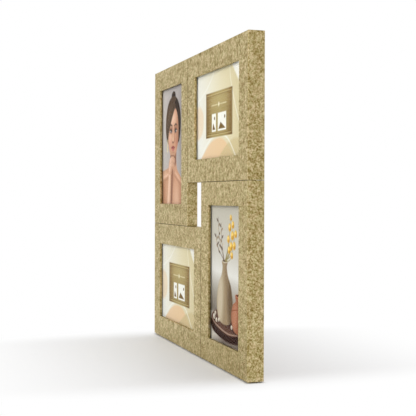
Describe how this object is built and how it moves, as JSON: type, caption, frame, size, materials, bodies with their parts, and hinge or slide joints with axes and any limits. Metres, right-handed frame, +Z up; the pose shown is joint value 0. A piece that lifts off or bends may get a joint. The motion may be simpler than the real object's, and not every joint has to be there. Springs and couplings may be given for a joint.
{
  "type": "collage photo frame",
  "caption": "Square collage of small mitred gold picture frames set like a pinwheel round an open centre, each with a glass pane, print, backing board and turn buttons.",
  "frame": {"origin": "middle of the footprint on the surface that the lower edge stands on", "axes": "+X to the right seen from the front, +Y from the front to the back, +Z up"},
  "size_m": [0.3342, 0.017, 0.3342],
  "materials": {
    "gold_moulding": "crinkled gold foil, satin metallic",
    "pane_glass": "clear float glass",
    "print_portrait": "satin photographic paper",
    "print_plaque": "satin paper insert, cream with bronze",
    "print_still_life": "satin photographic paper",
    "filler_card": "corrugated card, matte",
    "hardboard": "smooth brown hardboard",
    "zinc_steel": "zinc plated, satin",
    "brassed_steel": "brass plated steel, satin"
  },
  "bodies": {
    "root": {"top_left_rail_left": "gold_moulding", "top_left_rail_top": "gold_moulding", "top_left_rail_right": "gold_moulding", "top_left_rail_bottom": "gold_moulding", "top_left_pane": "pane_glass", "top_left_print": "print_portrait", "top_left_filler_card": "filler_card", "top_left_backing_board": "hardboard", "joining_plate_top": "zinc_steel", "top_right_rail_top": "gold_moulding", "top_right_rail_right": "gold_moulding", "top_right_rail_bottom": "gold_moulding", "top_right_rail_left": "gold_moulding", "top_right_pane": "pane_glass", "top_right_print": "print_plaque", "top_right_filler_card": "filler_card", "top_right_backing_board": "hardboard", "joining_plate_right": "zinc_steel", "bottom_right_rail_right": "gold_moulding", "bottom_right_rail_bottom": "gold_moulding", "bottom_right_rail_left": "gold_moulding", "bottom_right_rail_top": "gold_moulding", "bottom_right_pane": "pane_glass", "bottom_right_print": "print_still_life", "bottom_right_filler_card": "filler_card", "bottom_right_backing_board": "hardboard", "joining_plate_bottom": "zinc_steel", "bottom_left_rail_bottom": "gold_moulding", "bottom_left_rail_left": "gold_moulding", "bottom_left_rail_top": "gold_moulding", "bottom_left_rail_right": "gold_moulding", "bottom_left_pane": "pane_glass", "bottom_left_print": "print_plaque", "bottom_left_filler_card": "filler_card", "bottom_left_backing_board": "hardboard", "joining_plate_left": "zinc_steel", "corner_nails": "zinc_steel", "hanger_left": "brassed_steel", "hanger_right": "brassed_steel", "turn_button_screws": "brassed_steel", "joining_screws": "zinc_steel", "hanger_nails": "brassed_steel"},
    "top_left_turn_button_left": {"top_left_turn_button_left": "brassed_steel"},
    "top_left_turn_button_right": {"top_left_turn_button_right": "brassed_steel"},
    "top_right_turn_button_top": {"top_right_turn_button_top": "brassed_steel"},
    "top_right_turn_button_bottom": {"top_right_turn_button_bottom": "brassed_steel"},
    "bottom_right_turn_button_right": {"bottom_right_turn_button_right": "brassed_steel"},
    "bottom_right_turn_button_left": {"bottom_right_turn_button_left": "brassed_steel"},
    "bottom_left_turn_button_bottom": {"bottom_left_turn_button_bottom": "brassed_steel"},
    "bottom_left_turn_button_top": {"bottom_left_turn_button_top": "brassed_steel"}
  },
  "joints": [
    {"name": "top_left_turn_button_left_pivot", "type": "hinge", "parent": "root", "child": "top_left_turn_button_left", "pos_m": [-0.1531, 0.0042, 0.2382], "axis": [0, 1, 0], "range_deg": [-90, 90]},
    {"name": "top_left_turn_button_right_pivot", "type": "hinge", "parent": "root", "child": "top_left_turn_button_right", "pos_m": [-0.0391, 0.0042, 0.2382], "axis": [0, 1, 0], "range_deg": [-90, 90]},
    {"name": "top_right_turn_button_top_pivot", "type": "hinge", "parent": "root", "child": "top_right_turn_button_top", "pos_m": [0.0711, 0.0042, 0.3202], "axis": [0, 1, 0], "range_deg": [-90, 90]},
    {"name": "top_right_turn_button_bottom_pivot", "type": "hinge", "parent": "root", "child": "top_right_turn_button_bottom", "pos_m": [0.0711, 0.0042, 0.2062], "axis": [0, 1, 0], "range_deg": [-90, 90]},
    {"name": "bottom_right_turn_button_right_pivot", "type": "hinge", "parent": "root", "child": "bottom_right_turn_button_right", "pos_m": [0.1531, 0.0042, 0.096], "axis": [0, 1, 0], "range_deg": [-90, 90]},
    {"name": "bottom_right_turn_button_left_pivot", "type": "hinge", "parent": "root", "child": "bottom_right_turn_button_left", "pos_m": [0.0391, 0.0042, 0.096], "axis": [0, 1, 0], "range_deg": [-90, 90]},
    {"name": "bottom_left_turn_button_bottom_pivot", "type": "hinge", "parent": "root", "child": "bottom_left_turn_button_bottom", "pos_m": [-0.0711, 0.0042, 0.014], "axis": [0, 1, 0], "range_deg": [-90, 90]},
    {"name": "bottom_left_turn_button_top_pivot", "type": "hinge", "parent": "root", "child": "bottom_left_turn_button_top", "pos_m": [-0.0711, 0.0042, 0.128], "axis": [0, 1, 0], "range_deg": [-90, 90]}
  ]
}
